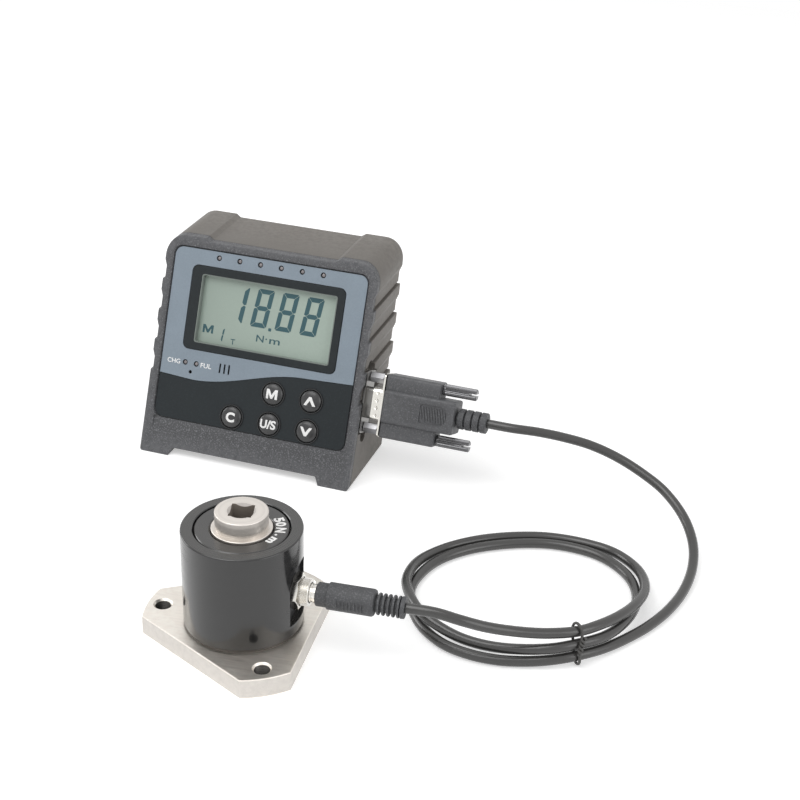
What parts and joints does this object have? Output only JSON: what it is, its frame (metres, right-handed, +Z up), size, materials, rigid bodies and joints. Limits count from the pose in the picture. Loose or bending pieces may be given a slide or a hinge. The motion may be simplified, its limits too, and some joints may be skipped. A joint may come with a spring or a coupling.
{
  "type": "electronic torque tester",
  "caption": "Leaning digital display unit joined by a cable to a reaction torque sensor, a cylinder with a square drive socket on a bolt-down plate.",
  "frame": {"origin": "on the floor under the middle of the display unit and the sensor together, without the cable and its plugs", "axes": "+Z up, the display faces -Y, the port and both cable ends leave towards +X"},
  "size_m": [0.2833, 0.2415, 0.102],
  "materials": {
    "base_plate": "fine ground",
    "battery_pack": "film",
    "bearing": "ground",
    "button_clear": "satin",
    "button_down": "satin",
    "button_mode": "satin",
    "button_unit": "satin",
    "button_up": "satin",
    "buzzer": "matte",
    "cable": "smooth",
    "cable_tie": "smooth",
    "cap_ring": "matte anodised",
    "case_screw_1": "zinc plated",
    "case_screw_2": "zinc plated",
    "case_screw_3": "zinc plated",
    "case_screw_4": "zinc plated",
    "charge_lamp_1": "polished",
    "charge_lamp_2": "polished",
    "drive_shaft": "fine turned",
    "flange_screw_1": "zinc plated",
    "flange_screw_2": "zinc plated",
    "flange_screw_3": "zinc plated",
    "front_bezel": "fine texture",
    "gauge_board": "satin",
    "hood_relief": "matte",
    "jack_lower": "plated",
    "jack_upper": "plated",
    "key_mat": "matte",
    "lamp_1": "polished",
    "lamp_2": "polished",
    "lamp_3": "polished",
    "lamp_4": "polished",
    "lamp_5": "polished",
    "lamp_6": "polished",
    "lcd_frame": "satin",
    "lcd_module": "polished",
    "main_board": "satin",
    "panel_lower": "satin film",
    "panel_socket": "plated",
    "panel_upper": "satin film",
    "plug_hood": "fine texture",
    "plug_shell": "plated",
    "rear_case": "smooth",
    "round_plug": "matte",
    "round_plug_shell": "plated",
    "sleeve": "black anodised",
    "socket_body": "matte",
    "socket_nut": "plated",
    "socket_shell": "plated",
    "thumbscrew_lower": "satin",
    "thumbscrew_upper": "satin"
  },
  "bodies": {
    "tester": {"base_plate": "base_plate", "battery_pack": "battery_pack", "bearing": "bearing", "buzzer": "buzzer", "cable": "cable", "cable_tie": "cable_tie", "cap_ring": "cap_ring", "case_screw_1": "case_screw_1", "case_screw_2": "case_screw_2", "case_screw_3": "case_screw_3", "case_screw_4": "case_screw_4", "charge_lamp_1": "charge_lamp_1", "charge_lamp_2": "charge_lamp_2", "drive_shaft": "drive_shaft", "flange_screw_1": "flange_screw_1", "flange_screw_2": "flange_screw_2", "flange_screw_3": "flange_screw_3", "front_bezel": "front_bezel", "gauge_board": "gauge_board", "hood_relief": "hood_relief", "jack_lower": "jack_lower", "jack_upper": "jack_upper", "key_mat": "key_mat", "lamp_1": "lamp_1", "lamp_2": "lamp_2", "lamp_3": "lamp_3", "lamp_4": "lamp_4", "lamp_5": "lamp_5", "lamp_6": "lamp_6", "lcd_frame": "lcd_frame", "lcd_module": "lcd_module", "main_board": "main_board", "panel_lower": "panel_lower", "panel_socket": "panel_socket", "panel_upper": "panel_upper", "plug_hood": "plug_hood", "plug_shell": "plug_shell", "rear_case": "rear_case", "round_plug": "round_plug", "round_plug_shell": "round_plug_shell", "sleeve": "sleeve", "socket_body": "socket_body", "socket_nut": "socket_nut", "socket_shell": "socket_shell"},
    "mode_key": {"button_mode": "button_mode"},
    "up_key": {"button_up": "button_up"},
    "clear_key": {"button_clear": "button_clear"},
    "unit_key": {"button_unit": "button_unit"},
    "down_key": {"button_down": "button_down"},
    "upper_screw": {"thumbscrew_upper": "thumbscrew_upper"},
    "lower_screw": {"thumbscrew_lower": "thumbscrew_lower"}
  },
  "joints": [
    {"name": "mode_press", "type": "slide", "parent": "tester", "child": "mode_key", "axis": [0, 0.9245, -0.3811], "range_m": [0, 0.001], "stiffness_N_per_m": 800, "springref_m": -0.0006},
    {"name": "up_press", "type": "slide", "parent": "tester", "child": "up_key", "axis": [0, 0.9245, -0.3811], "range_m": [0, 0.001], "stiffness_N_per_m": 800, "springref_m": -0.0006},
    {"name": "clear_press", "type": "slide", "parent": "tester", "child": "clear_key", "axis": [0, 0.9245, -0.3811], "range_m": [0, 0.001], "stiffness_N_per_m": 800, "springref_m": -0.0006},
    {"name": "unit_press", "type": "slide", "parent": "tester", "child": "unit_key", "axis": [0, 0.9245, -0.3811], "range_m": [0, 0.001], "stiffness_N_per_m": 800, "springref_m": -0.0006},
    {"name": "down_press", "type": "slide", "parent": "tester", "child": "down_key", "axis": [0, 0.9245, -0.3811], "range_m": [0, 0.001], "stiffness_N_per_m": 800, "springref_m": -0.0006},
    {"name": "upper_screw_turn", "type": "hinge", "parent": "tester", "child": "upper_screw", "pos_m": [0.07664, 0.07421, 0.04796], "axis": [1, 0, 0], "continuous": true},
    {"name": "lower_screw_turn", "type": "hinge", "parent": "tester", "child": "lower_screw", "pos_m": [0.07664, 0.06469, 0.02486], "axis": [1, 0, 0], "continuous": true}
  ]
}
